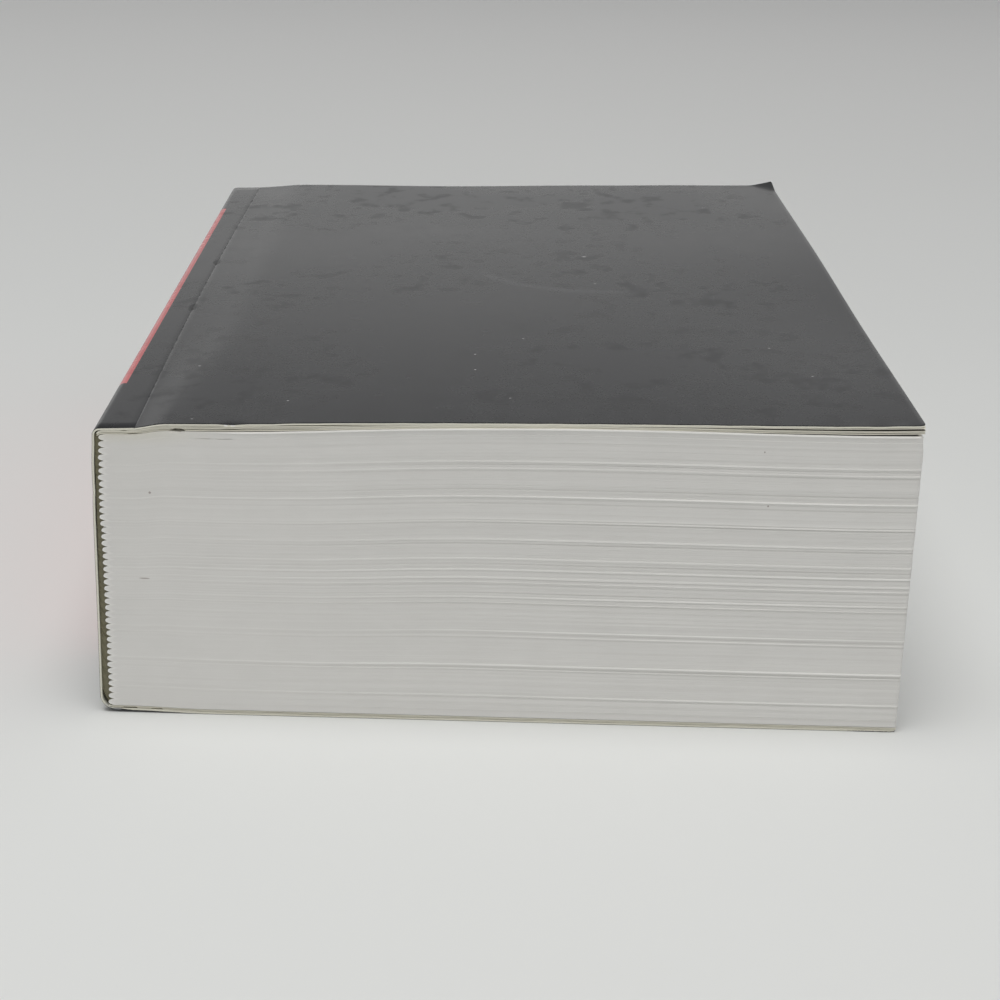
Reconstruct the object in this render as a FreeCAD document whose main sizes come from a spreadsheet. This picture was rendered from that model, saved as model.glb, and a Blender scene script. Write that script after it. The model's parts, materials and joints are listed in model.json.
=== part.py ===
# A thick sewn paperback, lying on its back cover with the spine along the left side (-X).
#
# The text is 42 folded signatures, sewn and glued at their folded backs. They are pressed tight
# at the spine and stand looser at the fore edge, so the block is a little thicker there. A section
# of heavier endleaves lies on each side of the block. One piece of card is wrapped round the spine
# and scored beside it: its spine panel keeps a narrow strip glued down on each side, and the two
# covers swing on the scores. Hot-melt glue fills the space between the folded backs and the card.
#
# Frame: +X from the spine to the fore edge, +Y from the tail to the head, +Z up. The origin is the
# middle of the box's underside. The sections are drawn from the spine's outer face and the table,
# and each body is then moved half the book's width to the left.

import FreeCAD, Part
import math
import os
import Sketcher
from FreeCAD import Vector

SIZES = (
    ("page_width", 152.4, "uppermost folded back to fore edge"),
    ("page_height", 228.6, "tail to head"),
    ("signature_count", 42, "folded sections of leaves"),
    ("signature_thickness", 1.298, "one section, pressed at the spine"),
    ("fore_swell", 4.9, "how much thicker the block is at the fore edge"),
    ("hinge_rise", 0.35, "how much of that is reached at the score"),
    ("shoulder_rise", 1.25, "how much of it is reached past the score"),
    ("fold_depth", 0.75, "how deep the valleys between folded backs are"),
    ("fold_round", 1.2, "radius of a folded back's flanks"),
    ("fold_flat", 0.2, "flat nose of a folded back"),
    ("edge_step", 0.12, "how far the shortest section stands behind the longest"),
    ("endleaf_thickness", 0.23, "one endleaf"),
    ("endleaf_slit", 0.04, "gap between two endleaves"),
    ("endleaf_fold", 0.4, "solid fold at the endleaves' spine side"),
    ("front_endleaf_count", 4, "endleaves under the front cover"),
    ("back_endleaf_count", 2, "endleaves above the back cover"),
    ("fore_gap", 0.25, "how far the uppermost endleaf has sprung off the rest at the fore edge"),
    ("card_thickness", 0.4, "cover card"),
    ("front_glue_thickness", 0.45, "spine glue, from the card to the uppermost folded back"),
    ("back_glue_thickness", 1.25, "spine glue, from the card to the lowest folded back"),
    ("glue_film", 0.1, "side glue between card and endleaf, and the gap under a cover"),
    ("glue_setback", 0.3, "how far the glue stays behind the shortest section at tail and head"),
    ("side_glue_width", 6.6, "width of the side glue, from the card's inner face"),
    ("score_setback", 8.0, "spine's outer face to the score that a cover swings on"),
    ("shoulder_run", 6.0, "width of the ramp past the score"),
    ("front_corner_radius", 1.4, "outer radius of the card between spine and front cover"),
    ("back_corner_radius", 3.0, "outer radius of the card between spine and back cover"),
)

doc = FreeCAD.newDocument("paperback_book")
sizes = doc.addObject("Spreadsheet::Sheet", "Sizes")
for row, (alias, value, note) in enumerate(SIZES, start=1):
    sizes.set(f"A{row}", alias)
    sizes.set(f"B{row}", str(value))
    sizes.set(f"C{row}", note)
    sizes.setAlias(f"B{row}", alias)
doc.recompute()

EDGE_TOLERANCE = 1e-4  # a corner's edge is found within this distance

# Stations across the book, from the spine's outer face, as expressions of the sheet.
CARD = "Sizes.card_thickness"
FRONT_FOLDS = "(Sizes.card_thickness + Sizes.front_glue_thickness)"
BACK_FOLDS = "(Sizes.card_thickness + Sizes.back_glue_thickness)"
DEEPEST_VALLEY = f"(max({FRONT_FOLDS}; {BACK_FOLDS}) + Sizes.fold_depth)"
SCORE = "Sizes.score_setback"
SHOULDER = "(Sizes.score_setback + Sizes.shoulder_run)"
FORE = f"({FRONT_FOLDS} + Sizes.page_width)"
SIDE_GLUE_END = "(Sizes.card_thickness + Sizes.side_glue_width)"
FRONT_ENDLEAF_START = f"max({FRONT_FOLDS}; Sizes.front_corner_radius)"
BACK_ENDLEAF_START = f"max({BACK_FOLDS}; Sizes.back_corner_radius)"

# Levels up through the book, from the table. The endleaves and the card above the block are given
# as a lift above it.
LEAF = "Sizes.endleaf_thickness"
LEAF_AND_SLIT = "(Sizes.endleaf_thickness + Sizes.endleaf_slit)"
BACK_ENDLEAVES = f"(round(Sizes.back_endleaf_count) * {LEAF_AND_SLIT} - Sizes.endleaf_slit)"
FRONT_ENDLEAVES = f"(round(Sizes.front_endleaf_count) * {LEAF_AND_SLIT} - Sizes.endleaf_slit)"
BACK_FILM = "(Sizes.card_thickness + Sizes.glue_film)"
BLOCK_BASE = f"({BACK_FILM} + {BACK_ENDLEAVES})"
BLOCK_SPINE_TOP = f"({BLOCK_BASE} + round(Sizes.signature_count) * Sizes.signature_thickness)"
CARD_INSIDE = f"({FRONT_ENDLEAVES} + Sizes.glue_film)"
CARD_OUTSIDE = f"({CARD_INSIDE} + Sizes.card_thickness)"
TOP_AT_SCORE = f"({BLOCK_SPINE_TOP} + Sizes.hinge_rise)"
TOP_AT_SHOULDER = f"({BLOCK_SPINE_TOP} + Sizes.shoulder_rise)"
TOP_AT_FORE = f"({BLOCK_SPINE_TOP} + Sizes.fore_swell)"

# Lengths from tail to head.
TRIM = "Sizes.page_height"
GLUE_LENGTH = "(Sizes.page_height - 2 * (Sizes.edge_step + Sizes.glue_setback))"


def block_top(station):
    """The block's top on the glued strip beside the spine, where it rises evenly to the score."""
    slope = f"Sizes.hinge_rise / ({SCORE} - {FRONT_FOLDS})"
    return f"({BLOCK_SPINE_TOP} + {slope} * ({station} - {FRONT_FOLDS}))"


def place(piece):
    """Moves a piece half the book's width to the left, so that the origin is under its middle."""
    piece.setExpression("Placement.Base.x", f"-{FORE} / 2")


def new_body(name):
    body = doc.addObject("PartDesign::Body", name)
    body.Label = name
    place(body)
    return body


def section(body, corners):
    """A closed section with straight sides, each corner placed by expressions from the axes."""
    sketch = body.newObject("Sketcher::SketchObject", body.Name + "_section")
    plane = next(f for f in body.Origin.OriginFeatures if f.Role == "XZ_Plane")
    sketch.AttachmentSupport = [(plane, "")]
    sketch.MapMode = "FlatFace"
    count = len(corners)
    turns = [2 * math.pi * i / count for i in range(count)]
    ring = [Vector(100 + 50 * math.cos(turn), 100 + 50 * math.sin(turn), 0) for turn in turns]
    for i in range(count):
        sketch.addGeometry(Part.LineSegment(ring[i], ring[(i + 1) % count]), False)
    for i in range(count):
        sketch.addConstraint(Sketcher.Constraint("Coincident", i, 2, (i + 1) % count, 1))
    for i, (across, up) in enumerate(corners):
        for kind, axis, distance in (("DistanceX", -2, across), ("DistanceY", -1, up)):
            if distance == "0":
                sketch.addConstraint(Sketcher.Constraint("PointOnObject", i, 1, axis))
                continue
            start = ring[i].x if kind == "DistanceX" else ring[i].y
            index = sketch.addConstraint(Sketcher.Constraint(kind, -1, 1, i, 1, start))
            sketch.setExpression(f"Constraints[{index}]", distance)
    return sketch


def pad(body, sketch, length):
    """Pads a section evenly towards tail and head."""
    feature = body.newObject("PartDesign::Pad", body.Name + "_pad")
    feature.Profile = sketch
    feature.Midplane = True
    feature.setExpression("Length", length)
    doc.recompute()
    return feature


def long_edges(shape, across, up):
    """Names of the edges that run from tail to head through one point of the section."""
    names = []
    for i, edge in enumerate(shape.Edges, start=1):
        off_corner = [math.hypot(v.X - across, v.Z - up) for v in edge.Vertexes]
        if len(off_corner) == 2 and max(off_corner) < EDGE_TOLERANCE:
            names.append(f"Edge{i}")
    return names


def round_corners(body, sketch, padded, roundings):
    """Rounds a padded section along the corners named, each with its own radius."""
    feature = padded
    for corner, radius in roundings:
        point = sketch.getPoint(corner, 1)
        fillet = body.newObject("PartDesign::Fillet", f"{body.Name}_corner_{corner}")
        fillet.Base = (feature, long_edges(feature.Shape, point.x, point.y))
        fillet.setExpression("Radius", radius)
        doc.recompute()
        feature = fillet


# The text block: each signature is a slab with a rounded, folded back. Its sides fan out towards
# the fore edge, neighbours are trimmed a hair unevenly on the three open sides, and the folded
# backs lie deeper behind the card towards the back cover.
def page_block():
    endleaf_pitch = sizes.endleaf_thickness + sizes.endleaf_slit
    back_endleaves = round(sizes.back_endleaf_count) * endleaf_pitch - sizes.endleaf_slit
    base = sizes.card_thickness + sizes.glue_film + back_endleaves
    front_folds = sizes.card_thickness + sizes.front_glue_thickness
    back_folds = sizes.card_thickness + sizes.back_glue_thickness
    score = sizes.score_setback
    fore = front_folds + sizes.page_width
    count = round(sizes.signature_count)
    slope = sizes.hinge_rise / (score - front_folds)
    open_sides = (
        (score, sizes.hinge_rise),
        (score + sizes.shoulder_run, sizes.shoulder_rise),
        (fore, sizes.fore_swell),
    )

    def folds(share):
        """How far across the folded backs lie, at a share of the block from back to front."""
        return back_folds + (front_folds - back_folds) * share

    def side(station, rise, index):
        """A point of the side between two signatures, the index counted from the back cover."""
        return Vector(station, 0, base + index * (sizes.signature_thickness + rise / count))

    def valley(index):
        station = folds(index / count) + sizes.fold_depth
        return side(station, slope * (station - front_folds), index)

    def flank(start, end):
        """A folded back's rounded flank, bulging away from the leaves."""
        half = start.distanceToPoint(end) / 2
        sagitta = sizes.fold_round - math.sqrt(sizes.fold_round**2 - half**2)
        along = (end - start).normalize()
        outwards = Vector(along.z, 0, -along.x)
        if outwards.x > 0:
            outwards = -outwards
        return Part.Arc(start, (start + end) / 2 + outwards * sagitta, end).toShape()

    def signature(index):
        middle = base + (index + 0.5) * sizes.signature_thickness
        nose = folds((index + 0.5) / count)
        nose_low = Vector(nose, 0, middle - sizes.fold_flat / 2)
        nose_high = Vector(nose, 0, middle + sizes.fold_flat / 2)
        low_side = [valley(index), *(side(station, rise, index) for station, rise in open_sides)]
        high_side = [valley(index + 1), *(side(station, rise, index + 1) for station, rise in open_sides)]
        outline = high_side + low_side[::-1]
        edges = [Part.LineSegment(a, b).toShape() for a, b in zip(outline, outline[1:])]
        edges.append(flank(low_side[0], nose_low))
        edges.append(Part.LineSegment(nose_low, nose_high).toShape())
        edges.append(flank(nose_high, high_side[0]))
        step = sizes.edge_step * abs(math.sin(2.4 * index))
        slab = Part.Face(Part.Wire(edges)).extrude(Vector(0, sizes.page_height - 2 * step, 0))
        slab.translate(Vector(0, step - sizes.page_height / 2, 0))
        trim = Part.makeBox(fore, sizes.page_height, 2 * slab.BoundBox.ZMax)
        trim.translate(Vector(-step, -sizes.page_height / 2, -slab.BoundBox.ZMax / 2))
        return slab.common(trim)

    slabs = [signature(index) for index in range(count)]
    block = doc.addObject("Part::Feature", "page_block")
    block.Label = "page_block"
    block.Shape = slabs[0].multiFuse(slabs[1:]).Solids[0]
    place(block)
    return block


# Endleaves: heavier sheets folded together at the spine side and free at the other three. They lie
# on each other with fine slits between them.
def endleaves(name, start, leaf_count, surface):
    """surface(start, lift, last) gives the corners of a leaf's face, from the spine side outwards."""
    body = new_body(name)
    slit_start = f"({start} + Sizes.endleaf_fold)"
    corners = []
    for leaf in range(leaf_count):
        last = leaf == leaf_count - 1
        lift = f"{leaf} * {LEAF_AND_SLIT}"
        corners += surface(start if leaf == 0 else slit_start, lift, last)
        corners += surface(start if last else slit_start, f"{lift} + {LEAF}", last)[::-1]
    pad(body, section(body, corners), TRIM)
    return body


def front_endpaper():
    def surface(start, lift, last):
        sprung = "Sizes.fore_gap" if last else "0"
        return [
            (start, f"{block_top(start)} + {lift}"),
            (SCORE, f"{TOP_AT_SCORE} + {lift}"),
            (SHOULDER, f"{TOP_AT_SHOULDER} + {lift}"),
            (FORE, f"{TOP_AT_FORE} + {lift} + {sprung}"),
        ]

    return endleaves("front_endpaper", FRONT_ENDLEAF_START, round(sizes.front_endleaf_count), surface)


def back_endpaper():
    def surface(start, lift, last):
        return [(start, f"{BACK_FILM} + {lift}"), (FORE, f"{BACK_FILM} + {lift}")]

    return endleaves("back_endpaper", BACK_ENDLEAF_START, round(sizes.back_endleaf_count), surface)


# The cover card's spine panel, with the two strips that stay glued to the endleaves.
def spine_cover():
    body = new_body("spine_cover")
    corners = [
        ("0", "0"),
        (SCORE, "0"),
        (SCORE, CARD),
        (CARD, CARD),
        (CARD, f"{block_top(CARD)} + {CARD_INSIDE}"),
        (SCORE, f"{TOP_AT_SCORE} + {CARD_INSIDE}"),
        (SCORE, f"{TOP_AT_SCORE} + {CARD_OUTSIDE}"),
        ("0", f"{block_top('0')} + {CARD_OUTSIDE}"),
    ]
    sketch = section(body, corners)
    roundings = (
        (3, "Sizes.back_corner_radius - Sizes.card_thickness"),
        (4, "Sizes.front_corner_radius - Sizes.card_thickness"),
        (0, "Sizes.back_corner_radius"),
        (7, "Sizes.front_corner_radius"),
    )
    round_corners(body, sketch, pad(body, sketch, TRIM), roundings)
    return body


# The two covers, from the scores to the fore edge. The front one ramps up past its score, where
# the block starts to swell.
def front_cover():
    body = new_body("front_cover")
    corners = [
        (SCORE, f"{TOP_AT_SCORE} + {CARD_INSIDE}"),
        (SHOULDER, f"{TOP_AT_SHOULDER} + {CARD_INSIDE}"),
        (FORE, f"{TOP_AT_FORE} + {CARD_INSIDE} + Sizes.fore_gap"),
        (FORE, f"{TOP_AT_FORE} + {CARD_OUTSIDE} + Sizes.fore_gap"),
        (SHOULDER, f"{TOP_AT_SHOULDER} + {CARD_OUTSIDE}"),
        (SCORE, f"{TOP_AT_SCORE} + {CARD_OUTSIDE}"),
    ]
    pad(body, section(body, corners), TRIM)
    return body


def back_cover():
    body = new_body("back_cover")
    corners = [(SCORE, "0"), (FORE, "0"), (FORE, CARD), (SCORE, CARD)]
    pad(body, section(body, corners), TRIM)
    return body


# Hot-melt glue: it fills the valleys between the folded backs and reaches round onto both sides.
# At tail and head it lies a little behind the trimmed leaves.
def binding_glue(block):
    body = doc.addObject("PartDesign::Body", "glue_fill")
    place(body)
    corners = [
        (CARD, CARD),
        (SIDE_GLUE_END, CARD),
        (SIDE_GLUE_END, BACK_FILM),
        (BACK_ENDLEAF_START, BACK_FILM),
        (BACK_ENDLEAF_START, BLOCK_BASE),
        (DEEPEST_VALLEY, BLOCK_BASE),
        (DEEPEST_VALLEY, block_top(DEEPEST_VALLEY)),
        (FRONT_ENDLEAF_START, block_top(FRONT_ENDLEAF_START)),
        (FRONT_ENDLEAF_START, f"{block_top(FRONT_ENDLEAF_START)} + {FRONT_ENDLEAVES}"),
        (SIDE_GLUE_END, f"{block_top(SIDE_GLUE_END)} + {FRONT_ENDLEAVES}"),
        (SIDE_GLUE_END, f"{block_top(SIDE_GLUE_END)} + {CARD_INSIDE}"),
        (CARD, f"{block_top(CARD)} + {CARD_INSIDE}"),
    ]
    sketch = section(body, corners)
    roundings = (
        (0, "Sizes.back_corner_radius - Sizes.card_thickness"),
        (11, "Sizes.front_corner_radius - Sizes.card_thickness"),
    )
    round_corners(body, sketch, pad(body, sketch, GLUE_LENGTH), roundings)
    glue = doc.addObject("Part::Cut", "binding_glue")
    glue.Label = "binding_glue"
    glue.Base = body
    glue.Tool = block
    return glue


block = page_block()
nodes = [block, back_endpaper(), front_endpaper(), spine_cover(), front_cover(), back_cover()]
doc.recompute()
nodes.append(binding_glue(block))
doc.recompute()

failed = [o.Name for o in doc.Objects if {"Invalid", "Error"} & set(o.State)]
if failed:
    raise RuntimeError(f"these features did not build: {failed}")
for node in nodes:
    if node.Shape.isNull() or not node.Shape.isValid():
        raise RuntimeError(f"{node.Label} has no valid shape")

os.makedirs("parts", exist_ok=True)
for node in nodes:
    node.Shape.exportStep(f"parts/{node.Label}.step")
    box = node.Shape.BoundBox
    across = f"x {box.XMin:.3f} to {box.XMax:.3f}"
    up = f"z {box.ZMin:.3f} to {box.ZMax:.3f}"
    print(f"{node.Label}: {len(node.Shape.Solids)} solid, {node.Shape.Volume:.1f} mm3, {across}, {up}")
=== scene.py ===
import json
import math

import bmesh
import bpy
import numpy as np
from mathutils import Matrix, Vector


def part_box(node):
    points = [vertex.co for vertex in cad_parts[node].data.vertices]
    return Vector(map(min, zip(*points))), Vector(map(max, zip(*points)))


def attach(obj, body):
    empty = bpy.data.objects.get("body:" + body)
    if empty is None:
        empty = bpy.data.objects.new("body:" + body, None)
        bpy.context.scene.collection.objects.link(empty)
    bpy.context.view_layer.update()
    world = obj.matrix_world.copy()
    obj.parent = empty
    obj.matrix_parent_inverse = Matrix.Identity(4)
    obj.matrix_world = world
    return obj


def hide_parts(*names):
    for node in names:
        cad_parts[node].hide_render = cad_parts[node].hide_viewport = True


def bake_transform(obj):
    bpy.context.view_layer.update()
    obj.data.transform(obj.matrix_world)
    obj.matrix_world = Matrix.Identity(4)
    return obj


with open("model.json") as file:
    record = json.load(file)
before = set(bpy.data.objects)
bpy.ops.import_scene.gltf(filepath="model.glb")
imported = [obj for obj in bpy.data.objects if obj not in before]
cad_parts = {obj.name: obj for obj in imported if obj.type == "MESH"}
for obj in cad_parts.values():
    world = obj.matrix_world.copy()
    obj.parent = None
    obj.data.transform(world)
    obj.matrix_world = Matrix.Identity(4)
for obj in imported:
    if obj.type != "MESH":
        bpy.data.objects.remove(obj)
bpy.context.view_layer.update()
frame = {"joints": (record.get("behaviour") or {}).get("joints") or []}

# The text block: 42 folded sections of 16 leaves, sewn, pressed and trimmed at tail, head and fore
# edge. The sections swell towards the fore edge, and some bundles of leaves stand proud of the cut.
MM = 0.001
SECTIONS = 42
LEAVES_IN_SECTION = 16
BUNDLES_IN_SECTION = 6
BUNDLES = SECTIONS * BUNDLES_IN_SECTION
FOLD_DEPTH = 1.15 * MM
GROOVE_DEPTH = 0.1 * MM
CARD = 0.4 * MM
ENDLEAF = 0.155 * MM
FRONT_STACK = 4 * ENDLEAF

block_low, block_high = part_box("page_block")
SPINE_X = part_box("spine_cover")[0].x
FORE_X = block_high.x
TAIL_Y = block_low.y
HEAD_Y = block_high.y
FORE_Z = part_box("front_cover")[1].z
hinges = {joint["name"]: joint for joint in frame["joints"]}
SCORE = Vector(hinges["front_cover_hinge"]["pos_m"])
BACK_SCORE = Vector(hinges["back_cover_hinge"]["pos_m"])


def smooth(value, start, end):
    """0 before start, 1 after end, and an even S between them."""
    share = np.clip((value - start) / (end - start), 0, 1)
    return share * share * (3 - 2 * share)


def bell(value, middle, width):
    """1 at the middle, falling off evenly on both sides."""
    return np.exp(-(((value - middle) / width) ** 2))


def from_tail(y):
    """0 at the tail, 1 at the head."""
    return np.clip((y - TAIL_Y) / (HEAD_Y - TAIL_Y), 0, 1)


CREASE_BOW = 0.92 * MM
OUT_OF_SQUARE = 0.6 * MM


def crease_x(y):
    """Where the front cover really creases: near the score, bowed a little towards the spine."""
    return SCORE.x - 0.1 * MM - CREASE_BOW * np.sin(math.pi * from_tail(y) ** 0.9)


def fore_edge(y):
    """The fore edge isn't quite square: it was trimmed a little shorter at the head."""
    return FORE_X - OUT_OF_SQUARE * smooth(from_tail(y), 0.5, 1)


SLOPE_START = SCORE.x + 6 * MM
WIDER_RAMP = 7 * MM
RAMP_RISE = 0.95 * MM


def cover_height(x, y):
    """The front cover's outer face: a strip beside the spine, a ramp past the crease, a long slope.

    The ramp is short at the tail and wider further in. Near the head the slope is hollow."""
    crease = crease_x(y)
    strip = SCORE.z - 0.06 * MM - 0.045 * np.clip(SCORE.x - x, 0, None)
    shoulder = SLOPE_START + WIDER_RAMP * smooth(from_tail(y), 0, 0.35)
    ramp = np.clip((x - crease) / (shoulder - crease), 0, 1)
    across = np.clip((x - SLOPE_START) / (FORE_X - SLOPE_START), 0, 1)
    slope = (FORE_Z - SCORE.z - 0.9 * MM) * across
    wave = 0.24 * MM * np.sin(1.5 * math.pi * across)
    tip = 0.22 * MM * np.clip((across - 0.88) / 0.12, 0, 1) ** 2
    hollow = 0.62 * MM * bell(across, 0.345, 0.215) - 0.22 * MM * smooth(across, 0.66, 0.84)
    sag = 0.6 * MM * bell(from_tail(y), 0.32, 0.24) * smooth(across, 0.6, 1)
    sag = sag + 0.15 * MM * bell(x, SPINE_X + 28 * MM, 9 * MM) * (1 - smooth(from_tail(y), 0, 0.25))
    head = from_tail(y) ** 1.5
    rise = RAMP_RISE * (0.5 * np.sin(0.5 * math.pi * ramp) + 0.5 * smooth(ramp, 0, 1))
    return strip + rise + slope + wave + tip - head * hollow - sag


# The play that the front endleaves have at the tail: places from the spine, and how much, in mm.
PLAY_AT = (0, 8, 22, 38, 47, 57, 70, 88, 108, 123, 139, 153)
PLAY_SIZE = (0.08, 0.33, 0.58, 0.65, 0.43, 0.21, 0.08, 0.03, 0.28, 0.61, 0.88, 1.15)


def play(x, y):
    """How much air there is between the text block and the front cover, beside the endleaves."""
    at_tail = np.interp((x - SPINE_X) / MM, PLAY_AT, PLAY_SIZE) * MM
    return at_tail * (1 - 0.75 * smooth(from_tail(y), 0.02, 0.55))


def block_top(x, y):
    """The top of the text block, below the front cover and the endleaves."""
    return cover_height(x, y) - CARD - FRONT_STACK - play(x, y)


BACK_LIFT = 0.42 * MM


def back_lift(x):
    """How far the back of the book stands off the table beside the spine."""
    return BACK_LIFT * (1 - smooth(x, SPINE_X + 5 * MM, SPINE_X + 21 * MM))


def points(piece):
    """The piece's vertices as an array of places."""
    found = np.empty(len(piece.data.vertices) * 3)
    piece.data.vertices.foreach_get("co", found)
    return found.reshape(-1, 3)


def set_points(piece, found):
    """Moves the piece's vertices to the places given."""
    piece.data.vertices.foreach_set("co", found.ravel())
    piece.data.update()


def mark_points(piece, name, kind, values):
    """Keeps a number or vector for each vertex, which a material reads as an attribute."""
    attribute = piece.data.attributes.new(name, kind, "POINT")
    field = "vector" if kind == "FLOAT_VECTOR" else "value"
    attribute.data.foreach_set(field, np.asarray(values, np.float32).ravel())


def new_block(name, low, high):
    """A cube between two corners, alone selected, with its place in its mesh."""
    bpy.ops.object.select_all(action="DESELECT")
    bpy.ops.mesh.primitive_cube_add(size=1, location=(low + high) / 2)
    piece = bpy.context.object
    piece.name = name
    piece.data.name = name
    piece.scale = high - low
    bpy.ops.object.transform_apply(location=True, rotation=True, scale=True)
    return piece


def select_in_edit(piece, kind, wanted):
    """Enters edit mode and selects the edges or faces for which wanted is true."""
    bpy.ops.object.mode_set(mode="EDIT")
    bpy.ops.mesh.select_mode(type=kind)
    bpy.ops.mesh.select_all(action="DESELECT")
    mesh = bmesh.from_edit_mesh(piece.data)
    mesh.normal_update()
    for part in mesh.edges if kind == "EDGE" else mesh.faces:
        if wanted(part):
            part.select_set(True)
    mesh.select_flush_mode()
    bmesh.update_edit_mesh(piece.data)


def runs_along(axis):
    """A test for edges that run along an axis."""
    def test(edge):
        run = edge.verts[1].co - edge.verts[0].co
        return abs(run[axis]) > 0.99 * run.length
    return test


def cut_along(piece, axis, lengths, wanted=None):
    """Cuts the edges that run along an axis into equal lengths, and those again for each further number."""
    along = runs_along(axis)
    for number in lengths:
        select_in_edit(piece, "EDGE", lambda edge: along(edge) and (wanted is None or wanted(edge)))
        bpy.ops.mesh.subdivide(number_cuts=number - 1)
        bpy.ops.object.mode_set(mode="OBJECT")


def soften(piece, degrees):
    """Smooth shading, with edges sharper than the angle kept."""
    bpy.ops.object.select_all(action="DESELECT")
    piece.select_set(True)
    bpy.context.view_layer.objects.active = piece
    bpy.ops.object.shade_smooth_by_angle(angle=math.radians(degrees))


def spread(share, stops):
    """Turns an even share from 0 to 1 into a place between uneven stops."""
    return np.interp(share, np.linspace(0, 1, len(stops)), stops)


# Rows up the block: each bundle of leaves has a lower and an upper row, a hair from the next bundle's,
# and one more row lies in the groove between two sections.
chance = np.random.default_rng(42)
HAIR = 0.008
LEAF_BUNDLES = np.array([0.0, 0.10, 0.28, 0.5, 0.72, 0.90, 1.0])
TOP_BUNDLE_START = 0.81
row_share = []
row_bundle = []
row_groove = []
for section in range(SECTIONS):
    edges = LEAF_BUNDLES.copy()
    edges[1:-1] += chance.uniform(-0.035, 0.035, BUNDLES_IN_SECTION - 1)
    if section == SECTIONS - 1:
        edges[-2] = TOP_BUNDLE_START
    for bundle in range(BUNDLES_IN_SECTION):
        row_share += [section + edges[bundle] + HAIR, section + edges[bundle + 1] - HAIR]
        row_bundle += [section * BUNDLES_IN_SECTION + bundle] * 2
        row_groove += [0, 0]
    row_share.append(section + 1)
    row_bundle.append(section * BUNDLES_IN_SECTION + BUNDLES_IN_SECTION - 1)
    row_groove.append(1)
row_share = np.array(row_share[:-1])
row_bundle = np.array(row_bundle[:-1])
row_groove = np.array(row_groove[:-1])
row_section = np.array([bundle // BUNDLES_IN_SECTION for bundle in row_bundle])
row_share[0] = 0
row_share[-1] = SECTIONS
in_section = row_share - row_section
ROWS = len(row_share)

# How far each bundle stays behind the longest one, and its tone, which differs a little at random. Single
# bundles stand proud, and below some of them is a gap: proud ones get painted highlight, gaps painted shade.
inset = 0.06 + 0.008 * chance.standard_normal(BUNDLES)
inset += np.repeat(0.010 * chance.standard_normal(SECTIONS), BUNDLES_IN_SECTION)
tone = 0.007 * chance.standard_normal(BUNDLES)
tone += np.repeat(0.004 * chance.standard_normal(SECTIONS), BUNDLES_IN_SECTION)
LEDGES = (  # share of the height from the top of the block, how proud, and how deep the gap there, in mm
    (0.002, 0.22, 0.0),
    (0.022, 0.07, 0.0),
    (0.112, 0.07, 0.0),
    (0.121, 0.0, 0.09),
    (0.132, 0.07, 0.0),
    (0.140, 0.0, 0.06),
    (0.204, 0.0, 0.10),
    (0.231, 0.15, 0.0),
    (0.254, 0.0, 0.07),
    (0.305, 0.05, 0.0),
    (0.313, 0.08, 0.0),
    (0.318, 0.0, 0.11),
    (0.374, 0.07, 0.0),
    (0.389, 0.0, 0.10),
    (0.444, 0.08, 0.0),
    (0.460, 0.0, 0.08),
    (0.480, 0.09, 0.0),
    (0.488, 0.0, 0.06),
    (0.509, 0.07, 0.0),
    (0.516, 0.0, 0.07),
    (0.526, 0.08, 0.0),
    (0.535, 0.0, 0.09),
    (0.564, 0.0, 0.08),
    (0.575, 0.07, 0.0),
    (0.581, 0.0, 0.07),
    (0.595, 0.07, 0.0),
    (0.600, 0.0, 0.07),
    (0.695, 0.09, 0.0),
    (0.703, 0.0, 0.07),
    (0.714, 0.08, 0.0),
    (0.721, 0.0, 0.06),
    (0.813, 0.15, 0.0),
    (0.822, 0.0, 0.09),
    (0.830, 0.07, 0.0),
    (0.923, 0.07, 0.0),
    (0.934, 0.0, 0.07),
)
bundle_middle = np.array([row_share[row_bundle == number].mean() for number in range(BUNDLES)])
bundle_middle = bundle_middle / SECTIONS
for depth, proud, gap in LEDGES:
    bundle = int(np.argmin(np.abs(1 - depth - bundle_middle)))
    inset[bundle] += 0.6 * gap - proud
    # Painted highlight on proud bundles and painted shade on the gaps below them.
    tone[bundle] += 1.05 * proud - 0.7 * gap
inset = np.clip(inset, -0.16, 0.2) * MM

# The folded backs, in mm from the spine's outer face: nearest in the upper half, furthest at the bottom.
FOLDS_AT = (0, 0.3, 0.55, 0.76, 0.9, 1)
FOLDS_BEHIND = (1.66, 1.5, 1.3, 0.95, 1.03, 1.3)
fold_tip = np.interp(np.arange(SECTIONS) / SECTIONS, FOLDS_AT, FOLDS_BEHIND)
fold_tip = (fold_tip + 0.05 * chance.standard_normal(SECTIONS)) * MM
fold_curve = np.abs(2 * in_section - 1) ** 2.8
row_left = SPINE_X + fold_tip[row_section] + FOLD_DEPTH * fold_curve + GROOVE_DEPTH * row_groove
row_inset = inset[row_bundle] + 0.5 * GROOVE_DEPTH * row_groove
# Rows in the grooves between sections are painted darker, as painted shade.
row_tone_and_painted_light = tone[row_bundle] - 0.02 * row_groove
drift = chance.uniform(0, 2 * math.pi, BUNDLES)

pages = new_block("page_sections", block_low, block_high)
cut_along(pages, 0, (40,))
cut_along(pages, 1, (24,))
cut_along(pages, 2, (17, (ROWS - 1) // 17))
even = (points(pages) - np.array(block_low)) / np.array(block_high - block_low)
row = np.rint(even[:, 2] * (ROWS - 1)).astype(int)
page_stops = np.concatenate([np.linspace(0, 0.2, 25), np.linspace(0.2, 0.99, 14)[1:], [0.9968, 0.9986, 1]])
across = spread(even[:, 0], page_stops)
along = even[:, 1]
top_bundle = row >= ROWS - 2
relief = 0.1 + 0.9 * smooth(across, -0.02, 0.72)
relief = np.where(top_bundle, smooth(across, 0.11, 0.2), relief)
share = row_share[row] / SECTIONS

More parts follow.
